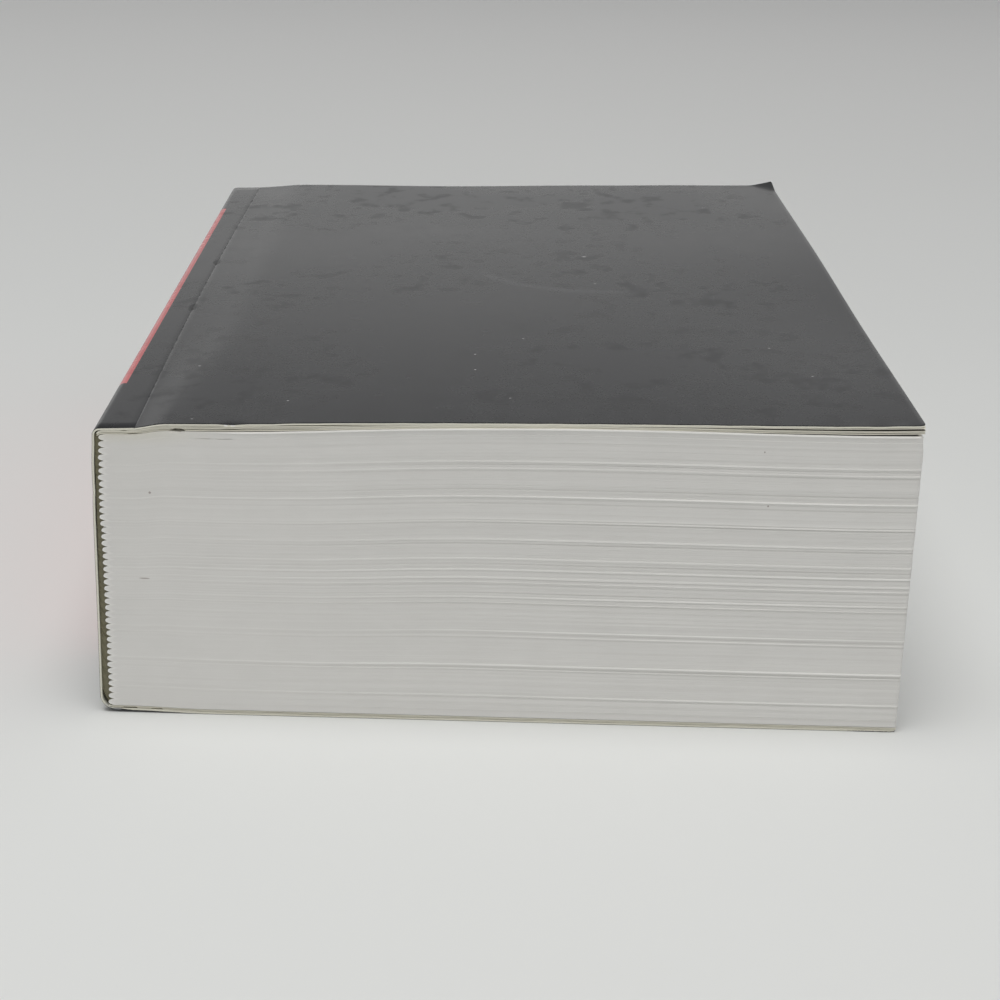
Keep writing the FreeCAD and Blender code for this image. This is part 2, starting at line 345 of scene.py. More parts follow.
left = row_left[row]
right = fore_edge(TAIL_Y + along * (HEAD_Y - TAIL_Y)) - np.abs(row_inset[row])
right = right - 0.25 * MM * smooth(share, 0.94, 0.985) - 0.3 * MM * top_bundle
tail = TAIL_Y + row_inset[row] * relief
head = HEAD_Y - row_inset[row] * relief
placed = np.empty_like(even)
placed[:, 0] = left + across * (right - left)
placed[:, 1] = tail + along * (head - tail)
CORNER = 0.45 * MM
worn_corner = 0.3 * MM * np.clip(1 - (right - placed[:, 0]) / CORNER, 0, 1) ** 2
placed[:, 1] += worn_corner * (1 - 2 * along)
base = block_low.z + back_lift(placed[:, 0])
from_spine = (placed[:, 0] - SPINE_X) / MM
swell = 0.28 * MM * bell(from_spine, 70, 14) - 0.24 * MM * bell(from_spine, 42, 11)
placed[:, 2] = base + share * (block_top(placed[:, 0], placed[:, 1]) - base)
placed[:, 2] += swell * 4 * share * (1 - share) * (1 - 0.6 * along)

# Two short slits near the tail, where the uppermost section has parted from the next one.
SLITS = ((20.8, 1.1), (24.4, 1.5))  # middle from the spine and half the length, in mm
SLIT_DEPTH = 0.5 * MM
uppermost_groove = (SECTIONS - 1) * (2 * BUNDLES_IN_SECTION + 1) - 1
for middle, half_width in SLITS:
    lens = np.clip(1 - ((from_spine - middle) / half_width) ** 2, 0, 1) * (along < 0.02)
    apart = (row == uppermost_groove + 1).astype(float) - (row == uppermost_groove - 1)
    placed[:, 2] += 0.07 * MM * lens * apart
    placed[:, 1] += SLIT_DEPTH * lens * (row == uppermost_groove)

# A third one lies where the first endleaf has let go of the uppermost leaf.
lens = np.clip(1 - ((from_spine - 15.7) / 1.0) ** 2, 0, 1) * (along < 0.02)
placed[:, 2] -= 0.16 * MM * lens * (row == ROWS - 1)
placed[:, 1] += SLIT_DEPTH * lens * (row == ROWS - 1)
set_points(pages, placed)

# Along the cut edge in metres, the leaf's number, and how strong the leaves' relief is there.
width = FORE_X - SPINE_X
height = HEAD_Y - TAIL_Y
round_block = placed[:, 0] - SPINE_X
on_fore = even[:, 0] > 0.9999
on_head = (even[:, 1] > 0.9999) & ~on_fore
on_folds = (even[:, 0] < 0.0001) & ~on_head & (even[:, 1] > 0.0001)
round_block = np.where(on_fore, width + placed[:, 1] - TAIL_Y, round_block)
round_block = np.where(on_head, width + height + FORE_X - placed[:, 0], round_block)
round_block = np.where(on_folds, 2 * width + height + HEAD_Y - placed[:, 1], round_block)
leaf_number = share * SECTIONS * LEAVES_IN_SECTION
mark_points(pages, "leaf_place", "FLOAT_VECTOR", np.column_stack([round_block, leaf_number, relief]))
fade = 1 + 0.3 * np.sin(round_block / (19 * MM) + drift[row_bundle[row]])
# Painted highlight on the rounded folded backs at the spine side.
painted_fold_light = 0.1 * (even[:, 0] < 0.0001) * (1 - row_groove[row])
mark_points(pages, "leaf_tone_and_painted_light", "FLOAT", row_tone_and_painted_light[row] * relief * fade + painted_fold_light)
soften(pages, 12)


def add_node(tree, kind, inputs=None, **settings):
    """Adds a node, sets its properties, then sets or links its inputs."""
    node = tree.nodes.new(kind)
    for name, value in settings.items():
        setattr(node, name, value)
    for name, value in (inputs or {}).items():
        if isinstance(value, bpy.types.NodeSocket):
            tree.links.new(value, node.inputs[name])
        else:
            node.inputs[name].default_value = value
    return node


def maths(tree, operation, first, second=0.0, third=0.0, clamp=False):
    """The result of a Math node."""
    inputs = {0: first, 1: second, 2: third}
    return add_node(tree, "ShaderNodeMath", inputs, operation=operation, use_clamp=clamp).outputs[0]


def ramp_between(tree, value, low, high, out_low=0.0, out_high=1.0):
    """An even S from one value to another as the input goes from low to high."""
    inputs = {"Value": value, "From Min": low, "From Max": high, "To Min": out_low, "To Max": out_high}
    node = add_node(tree, "ShaderNodeMapRange", inputs, interpolation_type="SMOOTHSTEP")
    return node.outputs["Result"]


def mixed(tree, share, first, second, blend_type="MIX"):
    """The colour of a Mix node."""
    inputs = {0: share, 6: first, 7: second}
    return add_node(tree, "ShaderNodeMix", inputs, data_type="RGBA", blend_type=blend_type).outputs[2]


def scaled(tree, vector, scale):
    """The vector times a scale for each axis."""
    return add_node(tree, "ShaderNodeVectorMath", {0: vector, 1: scale}, operation="MULTIPLY").outputs[0]


def noise(tree, vector, scale, detail=2.0, rough=0.5, bend=0.0):
    """The value of a Noise texture."""
    inputs = {"Vector": vector, "Scale": scale, "Detail": detail, "Roughness": rough, "Distortion": bend}
    return add_node(tree, "ShaderNodeTexNoise", inputs).outputs["Fac"]


def new_group(name, inputs, outputs):
    """A shader node group with the named sockets."""
    tree = bpy.data.node_groups.new(name, "ShaderNodeTree")
    for label, kind in inputs:
        tree.interface.new_socket(name=label, in_out="INPUT", socket_type=kind)
    for label, kind in outputs:
        tree.interface.new_socket(name=label, in_out="OUTPUT", socket_type=kind)
    return tree, tree.nodes.new("NodeGroupInput").outputs, tree.nodes.new("NodeGroupOutput").inputs


def new_material(name, roughness, specular):
    """A material, its node tree and its shader, with the shader's even values set."""
    material = bpy.data.materials.new(name)
    material.use_nodes = True
    shader = material.node_tree.nodes["Principled BSDF"]
    shader.inputs["Roughness"].default_value = roughness
    shader.inputs["Specular IOR Level"].default_value = specular
    return material, material.node_tree, shader


def object_place(tree):
    """Object coordinates, in metres of the book's own frame."""
    return add_node(tree, "ShaderNodeTexCoord").outputs["Object"]


def join(tree, output, shader, socket):
    """Links an output to one of the shader's sockets."""
    tree.links.new(output, shader.inputs[socket])


# Paper fibre: short pale and dark flecks with a soft cloud over them, for every paper and card.
paper_fibre, given, put = new_group(
    "paper_fibre",
    [("Place", "NodeSocketVector"), ("Fleck Size", "NodeSocketFloat")],
    [("Tone", "NodeSocketFloat"), ("Height", "NodeSocketFloat")],
)
fleck_scale = maths(paper_fibre, "DIVIDE", 1.0, given["Fleck Size"])
cloud_scale = maths(paper_fibre, "MULTIPLY", fleck_scale, 0.03)
flecks = noise(paper_fibre, scaled(paper_fibre, given["Place"], (1.0, 0.35, 1.0)), fleck_scale, 2.0, 0.6)
clouds = noise(paper_fibre, given["Place"], cloud_scale, 3.0, 0.5)
fleck_tone = maths(paper_fibre, "MULTIPLY_ADD", flecks, 0.5, -0.25)
cloud_tone = maths(paper_fibre, "MULTIPLY_ADD", clouds, 0.8, -0.4)
paper_fibre.links.new(maths(paper_fibre, "ADD", fleck_tone, cloud_tone), put["Tone"])
paper_fibre.links.new(flecks, put["Height"])

# A spot of dirt, a speck or a chip: 1 in its middle, 0 outside, with an uneven border.
spot, given, put = new_group(
    "spot",
    [("Place", "NodeSocketVector"), ("Middle", "NodeSocketVector"), ("Radius", "NodeSocketFloat")],
    [("Mask", "NodeSocketFloat")],
)
offset = add_node(spot, "ShaderNodeVectorMath", {0: given["Place"], 1: given["Middle"]}, operation="SUBTRACT")
distance = add_node(spot, "ShaderNodeVectorMath", {0: offset.outputs[0]}, operation="LENGTH").outputs["Value"]
uneven = maths(spot, "MULTIPLY_ADD", noise(spot, given["Place"], 2500.0), 1.2, 0.4)
reach = maths(spot, "MULTIPLY", given["Radius"], uneven)
inside = maths(spot, "DIVIDE", distance, reach)
spot.links.new(ramp_between(spot, inside, 1.0, 0.55), put["Mask"])


def spots(tree, place, marks):
    """The masks of several spots together: each is a middle in metres and a radius."""
    total = None
    for middle, radius in marks:
        group = add_node(tree, "ShaderNodeGroup", node_tree=spot)
        tree.links.new(place, group.inputs["Place"])
        group.inputs["Middle"].default_value = middle
        group.inputs["Radius"].default_value = radius
        mask = group.outputs["Mask"]
        total = mask if total is None else maths(tree, "MAXIMUM", total, mask)
    return total


# Uncoated book paper on its cut edge: thin streaks that run with the leaves, and a few specks of dirt.
page_paper, tree, shader = new_material("page_paper", 0.85, 0.2)
leaf_place = add_node(tree, "ShaderNodeAttribute", attribute_name="leaf_place").outputs["Vector"]
leaf_tone_and_painted_light = add_node(tree, "ShaderNodeAttribute", attribute_name="leaf_tone_and_painted_light").outputs["Fac"]
strength = add_node(tree, "ShaderNodeSeparateXYZ", {0: leaf_place}).outputs["Z"]
place = object_place(tree)
leaves = noise(tree, scaled(tree, leaf_place, (22.0, 0.75, 0.0)), 1.0, 2.0, 0.6)
bundles = noise(tree, scaled(tree, leaf_place, (9.0, 0.13, 0.0)), 1.0, 3.0, 0.6)
fibre = add_node(tree, "ShaderNodeGroup", node_tree=paper_fibre)
tree.links.new(place, fibre.inputs["Place"])
fibre.inputs["Fleck Size"].default_value = 0.25 * MM
streaks = maths(tree, "MULTIPLY", maths(tree, "SUBTRACT", leaves, 0.5), 0.30)
streaks = maths(tree, "ADD", streaks, maths(tree, "MULTIPLY", maths(tree, "SUBTRACT", bundles, 0.5), 0.16))
streaks = maths(tree, "MULTIPLY", streaks, strength)
value = maths(tree, "MULTIPLY_ADD", fibre.outputs["Tone"], 0.14, 0.5)
value = maths(tree, "ADD", value, streaks)
# The bundles' tone attribute carries painted highlight on proud bundles and folds, and painted shade in gaps
# and grooves.
value = maths(tree, "MULTIPLY_ADD", leaf_tone_and_painted_light, 3.0, value, clamp=True)
colour = mixed(tree, value, (0.545, 0.535, 0.512, 1), (0.93, 0.92, 0.895, 1))
parts = add_node(tree, "ShaderNodeSeparateXYZ", {0: place}).outputs
# Painted shade: an olive tint on the top pages near the spine, for the shaded gaps under the endleaves.
painted_shade_by_spine = maths(tree, "MULTIPLY", ramp_between(tree, parts["X"], SPINE_X + 26 * MM, SPINE_X + 4 * MM),
                ramp_between(tree, parts["Z"], 53.5 * MM, 56.5 * MM))
colour = mixed(tree, maths(tree, "MULTIPLY", painted_shade_by_spine, 0.6), colour, (0.68, 0.66, 0.56, 1))
specks = spots(tree, place, (
    ((SPINE_X + 10.4 * MM, TAIL_Y, 44.8 * MM), 0.28 * MM),
    ((SPINE_X + 123.9 * MM, TAIL_Y, 56.0 * MM), 0.24 * MM),
    ((SPINE_X + 125.2 * MM, TAIL_Y, 45.5 * MM), 0.26 * MM),
))
# Painted shade on the faces inside the gaps, 0.3 to 3 mm behind the tail cut, from 60 mm off the spine to
# short of the fore edge.
inward = maths(tree, "SUBTRACT", parts["Y"], TAIL_Y)
painted_shade_in_gaps = maths(tree, "MULTIPLY", ramp_between(tree, inward, 0.25 * MM, 0.4 * MM),
              ramp_between(tree, inward, 3 * MM, 1.5 * MM))
painted_shade_in_gaps = maths(tree, "MULTIPLY", painted_shade_in_gaps, ramp_between(tree, parts["X"], FORE_X - 0.9 * MM, FORE_X - 1.4 * MM))
painted_shade_in_gaps = maths(tree, "MULTIPLY", painted_shade_in_gaps, maths(tree, "GREATER_THAN", parts["X"], SPINE_X + 60 * MM))
colour = mixed(tree, maths(tree, "MULTIPLY", painted_shade_in_gaps, 0.8), colour, (0.08, 0.075, 0.06, 1))
dash = spots(tree, scaled(tree, place, (0.12, 1.0, 1.0)), (
    ((0.12 * (SPINE_X + 9.2 * MM), TAIL_Y, 27.7 * MM), 0.14 * MM),
))
specks = maths(tree, "MAXIMUM", specks, dash)
colour = mixed(tree, maths(tree, "MULTIPLY", specks, 0.6), colour, (0.22, 0.16, 0.14, 1))
join(tree, colour, shader, "Base Color")
height_of_leaves = maths(tree, "MULTIPLY_ADD", fibre.outputs["Height"], 0.3, leaves)
bump = add_node(tree, "ShaderNodeBump", {"Strength": 0.35, "Distance": 0.04 * MM, "Height": height_of_leaves})
join(tree, bump.outputs["Normal"], shader, "Normal")
pages.data.materials.append(page_paper)
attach(pages, "text_block")
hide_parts("page_block")

# The glue: hot-melt run over the folded backs and a finger's width onto the first and last leaf. It
# set before the last trim, so at tail and head it stays a little behind the pages, with rough ends.
GLUE_FILM = 0.1 * MM
GLUE_SETBACK = 0.35 * MM
SIDE_GLUE_END = SPINE_X + 7 * MM
glue_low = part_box("binding_glue")[0]
slab_low = Vector((SPINE_X + CARD, TAIL_Y + GLUE_SETBACK, glue_low.z))
slab_high = Vector((SPINE_X + 2.95 * MM, HEAD_Y - GLUE_SETBACK, SCORE.z - CARD))
glue = new_block("spine_glue", slab_low, slab_high)
GLUE_ROWS = 120
cut_along(glue, 2, (12, GLUE_ROWS // 12))
cut_along(glue, 0, (6,))
slab_height = slab_high.z - slab_low.z
slab_middle = (slab_low.z + slab_high.z) / 2
thin = slab_height / GLUE_ROWS
select_in_edit(glue, "FACE", lambda face: face.normal.x > 0.9
               and abs(face.calc_center_median().z - slab_middle) > slab_height / 2 - thin)
bpy.ops.mesh.extrude_region_move(TRANSFORM_OT_translate={"value": (SIDE_GLUE_END - slab_high.x, 0, 0)})
bpy.ops.object.mode_set(mode="OBJECT")
cut_along(glue, 0, (8,), lambda edge: max(vert.co.x for vert in edge.verts) > slab_high.x + 0.1 * MM)
cut_along(glue, 1, (24,))
placed = points(glue)
share = (placed[:, 2] - slab_low.z) / slab_height
film_top = cover_height(placed[:, 0], placed[:, 1]) - CARD - 0.01 * MM
film_bottom = CARD + back_lift(placed[:, 0]) + 0.01 * MM
corner = np.clip(1 - (placed[:, 0] - slab_low.x) / (2.6 * MM), 0, 1)
film_bottom = film_bottom + 3.6 * MM * corner ** 2
film_top = film_top - 0.7 * MM * corner ** 2
body_low = film_bottom + GLUE_FILM
body_high = film_top - GLUE_FILM
inner = (share * GLUE_ROWS - 1) / (GLUE_ROWS - 2)
body = body_low + inner * (body_high - body_low)
placed[:, 2] = np.where(share < 0.001, film_bottom, np.where(share > 0.999, film_top, body))
ragged = chance.uniform(-0.16, 0.1, GLUE_ROWS + 2)[np.rint(share * GLUE_ROWS).astype(int)] * MM
ragged = ragged + 0.05 * MM * np.sin(placed[:, 0] * 9000)
at_tail = placed[:, 1] < slab_low.y + 0.001 * MM
at_head = placed[:, 1] > slab_high.y - 0.001 * MM
placed[:, 1] += np.where(at_tail, -ragged, 0) + np.where(at_head, ragged, 0)
set_points(glue, placed)
soften(glue, 35)

hot_melt, tree, shader = new_material("hot_melt_glue", 0.5, 0.35)
place = object_place(tree)
lumps = noise(tree, place, 1400.0, 3.0, 0.6, 0.6)
streaked = noise(tree, scaled(tree, place, (900.0, 25.0, 900.0)), 1.0, 2.0)
value = maths(tree, "MULTIPLY_ADD", lumps, 0.7, maths(tree, "MULTIPLY", streaked, 0.3), clamp=True)
join(tree, mixed(tree, value, (0.085, 0.078, 0.045, 1), (0.25, 0.23, 0.15, 1)), shader, "Base Color")
join(tree, ramp_between(tree, lumps, 0.3, 0.7, 0.38, 0.7), shader, "Roughness")
bump = add_node(tree, "ShaderNodeBump", {"Strength": 0.5, "Distance": 0.12 * MM, "Height": lumps})
join(tree, bump.outputs["Normal"], shader, "Normal")
glue.data.materials.append(hot_melt)
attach(glue, "text_block")
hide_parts("binding_glue")

# The endleaves: single cream sheets tipped on with the side glue, four under the front cover and two
# above the back one. They part a little here and there at the tail.
leaf_columns = np.concatenate([
    [0.95, 1.15, 1.4, 1.7, 2.1],
    np.linspace(2.6, 30, 48)[:-1],
    np.linspace(30, 152.0, 27),
    [152.7, 153.1, 153.2],
]) * MM + SPINE_X
edge_rows = np.array([0, 0.25, 0.6, 1.1, 2, 4])
leaf_rows = np.concatenate([edge_rows, np.linspace(8, 220.6, 24), 228.6 - edge_rows[::-1]]) * MM + TAIL_Y


def new_sheet(name, columns, rows):
    """A flat grid whose columns and rows stand at the given places."""
    bpy.ops.object.select_all(action="DESELECT")
    bpy.ops.mesh.primitive_grid_add(x_subdivisions=len(columns) - 1, y_subdivisions=len(rows) - 1, size=1)
    sheet = bpy.context.object
    sheet.name = name
    sheet.data.name = name
    found = points(sheet)
    found[:, 0] = spread(found[:, 0] + 0.5, columns)
    found[:, 1] = spread(found[:, 1] + 0.5, rows)
    set_points(sheet, found)
    return sheet


def thicken(piece, thickness, side, inside=0):
    """Gives a sheet its thickness on one side of its normals; rim and far side may take a next material."""
    solid = piece.modifiers.new("thickness", "SOLIDIFY")
    solid.thickness = thickness
    solid.offset = side
    solid.material_offset = inside
    solid.material_offset_rim = inside
    bpy.ops.object.select_all(action="DESELECT")
    piece.select_set(True)
    bpy.context.view_layer.objects.active = piece
    bpy.ops.object.modifier_apply(modifier=solid.name)


def trim_leaf(found, setback, nicks):
    """Pulls a leaf's cut edges in by its setback, and further where it is nicked at the tail."""
    u = (found[:, 0] - SPINE_X) / MM
    reach = setback + 0.035 * np.sin(u * 0.35 + 40 * setback) + 0.02 * np.sin(u * 1.3 + 90 * setback)
    for middle, half_width, depth in nicks:
        reach = reach + depth * np.exp(-(((u - middle) / half_width) ** 4))
    out_of_square = (FORE_X - fore_edge(found[:, 1])) / MM
    side = 0.5 * setback + 0.03 * np.sin(found[:, 1] * 120 + 60 * setback) + out_of_square
    found[:, 1] += MM * reach * np.exp(-(found[:, 1] - TAIL_Y) / (1.2 * MM))
    found[:, 1] -= MM * setback * np.exp(-(HEAD_Y - found[:, 1]) / (1.2 * MM))
    found[:, 0] -= MM * side * np.exp(-(FORE_X - found[:, 0]) / (3 * MM))


FRONT_LEAVES = (  # setback at the cut edges in mm, and nicks: middle, half width, depth in mm
    (0.12, ((7.5, 0.85, 0.5), (15.7, 1.15, 1.5))),
    (0.18, ((15.7, 0.9, 0.6), (25.4, 1.5, 0.3))),
    (0.08, ((39.0, 2.2, 0.12),)),
    (0.05, ((5.9, 0.6, 0.3), (47.0, 4.0, 0.15))),
)
BACK_LEAVES = (
    (0.16, ((5.6, 1.2, 0.8), (10.8, 0.8, 0.9))),
    (0.06, ()),
)


def endleaves(name, leaves, level, below_gaps):
    """Makes a stack of endleaves, joined to one piece; level gives each leaf's underside.

    The leaves named in below_gaps get painted shade near the tail edge, for the gap above them."""
    made = []
    for number, (setback, nicks) in enumerate(leaves):
        leaf = new_sheet(f"{name}_{number}", leaf_columns, leaf_rows)
        found = points(leaf)
        trim_leaf(found, setback, nicks)
        found[:, 2] = level(number, found[:, 0], found[:, 1])
        set_points(leaf, found)
        thicken(leaf, ENDLEAF, 1)
        found = points(leaf)
        behind_edge = (found[:, 1] - TAIL_Y) / MM - setback
        # Painted shade on the leaf near its tail edge, in the gap above it.
        painted_shade_in_gaps = smooth(behind_edge, 0.05, 0.25) * (1 - smooth(behind_edge, 1.5, 4))
        mark_points(leaf, "dust_and_gap_shade", "FLOAT", painted_shade_in_gaps * (number in below_gaps))
        made.append(leaf)
    bpy.ops.object.select_all(action="DESELECT")
    for leaf in made:
        leaf.select_set(True)
    bpy.context.view_layer.objects.active = made[0]
    bpy.ops.object.join()
    made[0].name = name
    made[0].data.name = name
    soften(made[0], 30)
    return made[0]


GAP_AT = (0, 20, 30, 44, 58, 95, 125, 152)
GAP_SHARES = (  # each gap's share of the play there, from the block upwards; the rest is the card's
    (0.20, 0.20, 0.40, 0.20, 0.20, 0.10, 0.24, 0.36),
    (0.25, 0.25, 0.25, 0.10, 0.10, 0.15, 0.10, 0.10),
    (0.15, 0.15, 0.15, 0.10, 0.10, 0.20, 0.12, 0.08),
    (0.15, 0.15, 0.10, 0.10, 0.15, 0.45, 0.42, 0.34),
)


def front_level(number, x, y):
    """A front endleaf's underside: the leaves share the play between the block and the cover."""
    u = (x - SPINE_X) / MM
    below = sum(np.interp(u, GAP_AT, shares) for shares in GAP_SHARES[:number + 1])
    ripple = 0.012 * MM * np.sin(0.26 * u + 2.2 * number) * smooth(u, 20, 60) * (1 - from_tail(y))
    droop = 0.42 * MM * np.clip((2.0 - u) / 1.05, 0, 1) ** 2
    return block_top(x, y) + number * ENDLEAF + play(x, y) * below + ripple - droop


BACK_LEAF_LEVEL = 0.45 * MM
BACK_LEAF_STEP = 0.29 * MM


def back_level(number, x, y):
    """A back endleaf's underside, above the back cover."""
    return back_lift(x) + BACK_LEAF_LEVEL + number * BACK_LEAF_STEP + 0 * y


cream_paper, tree, shader = new_material("endleaf_paper", 0.8, 0.25)
place = object_place(tree)
fibre = add_node(tree, "ShaderNodeGroup", node_tree=paper_fibre)
tree.links.new(place, fibre.inputs["Place"])
fibre.inputs["Fleck Size"].default_value = 0.4 * MM
parts = add_node(tree, "ShaderNodeSeparateXYZ", {0: place}).outputs
from_edge_y = maths(tree, "SUBTRACT", HEAD_Y, maths(tree, "ABSOLUTE", parts["Y"]))
from_edge_x = maths(tree, "SUBTRACT", FORE_X, parts["X"])
from_edge = maths(tree, "MINIMUM", from_edge_x, from_edge_y)
toned = ramp_between(tree, from_edge, 9 * MM, 0.0)
# Painted shade: an olive tint towards the spine, for the shaded gaps between the leaves there.
painted_shade_towards_spine = ramp_between(tree, parts["X"], SPINE_X + 34 * MM, SPINE_X + 4 * MM)
painted_shade_towards_spine = maths(tree, "MULTIPLY", painted_shade_towards_spine, noise(tree, scaled(tree, place, (260.0, 900.0, 2200.0)), 1.0, 2.0))
value = maths(tree, "MULTIPLY_ADD", fibre.outputs["Tone"], 0.6, 0.6, clamp=True)
colour = mixed(tree, value, (0.72, 0.70, 0.61, 1), (0.88, 0.86, 0.77, 1))
colour = mixed(tree, maths(tree, "MULTIPLY", toned, 0.25), colour, (0.70, 0.67, 0.55, 1))
colour = mixed(tree, maths(tree, "MULTIPLY", painted_shade_towards_spine, 0.25), colour, (0.55, 0.53, 0.42, 1))
dust_and_gap_shade = add_node(tree, "ShaderNodeAttribute", attribute_name="dust_and_gap_shade").outputs["Fac"]
# Painted shade near the tail edge of a leaf that lies below a gap.
colour = mixed(tree, maths(tree, "MULTIPLY", dust_and_gap_shade, 0.85), colour, (0.07, 0.065, 0.05, 1))
join(tree, colour, shader, "Base Color")
grain = {"Strength": 0.3, "Distance": 0.03 * MM, "Height": fibre.outputs["Height"]}
bump = add_node(tree, "ShaderNodeBump", grain)
join(tree, bump.outputs["Normal"], shader, "Normal")

front_leaves = endleaves("front_endleaves", FRONT_LEAVES, front_level, (2,))
back_leaves = endleaves("back_endleaves", BACK_LEAVES, back_level, ())
for leaves_piece, node in ((front_leaves, "front_endpaper"), (back_leaves, "back_endpaper")):
    leaves_piece.data.materials.append(cream_paper)
    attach(leaves_piece, "text_block")
    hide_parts(node)

# The cover's spine panel with its two glued side strips: one sheet of folding card, cream inside and
# at its cut edges, black matt film laminated outside. The panel printed on the spine is plain red.
FRONT_CORNER = 1.4 * MM
BACK_CORNER = 3.0 * MM
PANEL_END = 84.7 * MM
PANEL_WRAP = 1.75 * MM
strip_top = SCORE.z - 0.3 * MM

spine = new_block("spine_card", Vector((SPINE_X, TAIL_Y, 0)), Vector((SCORE.x, HEAD_Y, strip_top)))
select_in_edit(spine, "FACE", lambda face: face.normal.x > 0.9 or abs(face.normal.y) > 0.9)
bpy.ops.mesh.delete(type="FACE")
MID_HEIGHT = 0.03
on_face = SPINE_X + 0.1 * MM
select_in_edit(spine, "EDGE", lambda edge: all(vert.co.x < on_face for vert in edge.verts)
               and all(vert.co.z > MID_HEIGHT for vert in edge.verts))
bpy.ops.mesh.bevel(offset=FRONT_CORNER, segments=7, affect="EDGES")
select_in_edit(spine, "EDGE", lambda edge: all(vert.co.x < on_face for vert in edge.verts)
               and all(vert.co.z < MID_HEIGHT for vert in edge.verts)
               and abs(edge.verts[0].co.y - edge.verts[1].co.y) > 0.1)
bpy.ops.mesh.bevel(offset=BACK_CORNER, segments=9, affect="EDGES")
bpy.ops.object.mode_set(mode="OBJECT")
STRIP_COLUMNS = 11
cut_along(spine, 0, (STRIP_COLUMNS,), lambda edge: abs(edge.verts[0].co.x - edge.verts[1].co.x) > 4 * MM)
cut_along(spine, 2, (28,), lambda edge: abs(edge.verts[0].co.z - edge.verts[1].co.z) > 10 * MM)
cut_along(spine, 1, (64,))
placed = points(spine)
on_top = placed[:, 2] > strip_top - 0.001 * MM
strip = np.clip((placed[:, 0] - SPINE_X - FRONT_CORNER) / (SCORE.x - SPINE_X - FRONT_CORNER), 0, 1)
crease = crease_x(placed[:, 1])
GROOVE_HALF = 0.28 * MM
before = 6 / STRIP_COLUMNS
after = 8 / STRIP_COLUMNS
start_x = SPINE_X + FRONT_CORNER
before_crease = start_x + strip / before * (crease - GROOVE_HALF - start_x)
in_crease = crease + GROOVE_HALF * ((strip - before) / (after - before) * 2 - 1)
past_crease = crease + GROOVE_HALF + (strip - after) / (1 - after) * (SCORE.x - crease - GROOVE_HALF)
warped = np.where(strip < before, before_crease, np.where(strip < after, in_crease, past_crease))
placed[:, 0] = np.where(on_top & (strip > 0), warped, placed[:, 0])
to_crease = placed[:, 0] - crease
groove = 0.06 * MM * np.clip(1 - np.abs(to_crease) / GROOVE_HALF, 0, 1)
top_now = cover_height(placed[:, 0], placed[:, 1])
upper = placed[:, 2] > MID_HEIGHT
height_share = np.clip((placed[:, 2] - BACK_CORNER) / (strip_top - FRONT_CORNER - BACK_CORNER), 0, 1)
corner_top = cover_height(np.full(len(placed), SPINE_X + FRONT_CORNER), placed[:, 1])
lift_low = back_lift(np.maximum(placed[:, 0], SPINE_X + 3 * MM))
lifted = placed[:, 2] + np.where(placed[:, 2] > strip_top - FRONT_CORNER - 0.001 * MM,
                                 corner_top - strip_top, height_share * (corner_top - strip_top))
lifted += (1 - height_share) * lift_low
placed[:, 2] = np.where(on_top, top_now - groove, lifted)
face_share = np.sin(math.pi * height_share)
bulge = 0.2 * MM * bell(placed[:, 2], 44 * MM, 17 * MM) * (1 - smooth(placed[:, 2], 50 * MM, 56 * MM))
placed[:, 0] -= np.where(on_top, 0, bulge + 0.05 * MM * face_share * np.sin(placed[:, 1] * 41))
dent = bell(placed[:, 2], 44.8 * MM, 1.2 * MM) * np.exp(-(placed[:, 1] - TAIL_Y) / (1.5 * MM))
placed[:, 0] += 0.12 * MM * dent * (placed[:, 0] < SPINE_X + 1 * MM)
set_points(spine, placed)
FAR_FROM_CREASE = 50.0
mark_points(spine, "crease", "FLOAT", np.where(upper, to_crease / MM, FAR_FROM_CREASE))


def face_out(piece):
    """Turns the sheet's faces away from the middle of the book."""
    middle = Vector((0, 0, MID_HEIGHT))
    select_in_edit(piece, "FACE", lambda face: face.normal.dot(face.calc_center_median() - middle) < 0)
    bpy.ops.mesh.flip_normals()
    bpy.ops.object.mode_set(mode="OBJECT")


def show_film_edge(piece, score_x, width):
    """Bevels the outer rim, so that the film's thickness shows as a thin dark line; not at the score."""
    select_in_edit(piece, "EDGE", lambda edge: {face.material_index for face in edge.link_faces} == {0, 1}
                   and not all(abs(vert.co.x - score_x) < 0.02 * MM for vert in edge.verts))
    bpy.ops.mesh.bevel(offset=width, segments=2, affect="EDGES", material=0)
    bpy.ops.object.mode_set(mode="OBJECT")


def mark_film_wear_and_shadow(piece, reach):
    """Marks how far the card's cut edge is black: film worn round it, and beside the spine also painted
    shadow of the gap under the lifted cover; above 0 is black.

    Solidify keeps the outer points first and adds as many inner ones."""
    inner = np.arange(len(piece.data.vertices)) >= len(piece.data.vertices) // 2
    mark_points(piece, "film_wear_and_gap_shadow", "FLOAT", reach(points(piece)) - inner)


# Cream folding card, uncoated on its inner side.
cream_card, tree, shader = new_material("cream_card", 0.75, 0.25)
place = object_place(tree)
fibre = add_node(tree, "ShaderNodeGroup", node_tree=paper_fibre)
tree.links.new(place, fibre.inputs["Place"])
fibre.inputs["Fleck Size"].default_value = 0.6 * MM
layers = noise(tree, scaled(tree, place, (150.0, 150.0, 9000.0)), 1.0, 2.0)
layer_tone = maths(tree, "MULTIPLY_ADD", layers, 0.5, 0.3)
value = maths(tree, "MULTIPLY_ADD", fibre.outputs["Tone"], 0.5, layer_tone, clamp=True)
card_colour = mixed(tree, value, (0.66, 0.645, 0.54, 1), (0.83, 0.815, 0.72, 1))
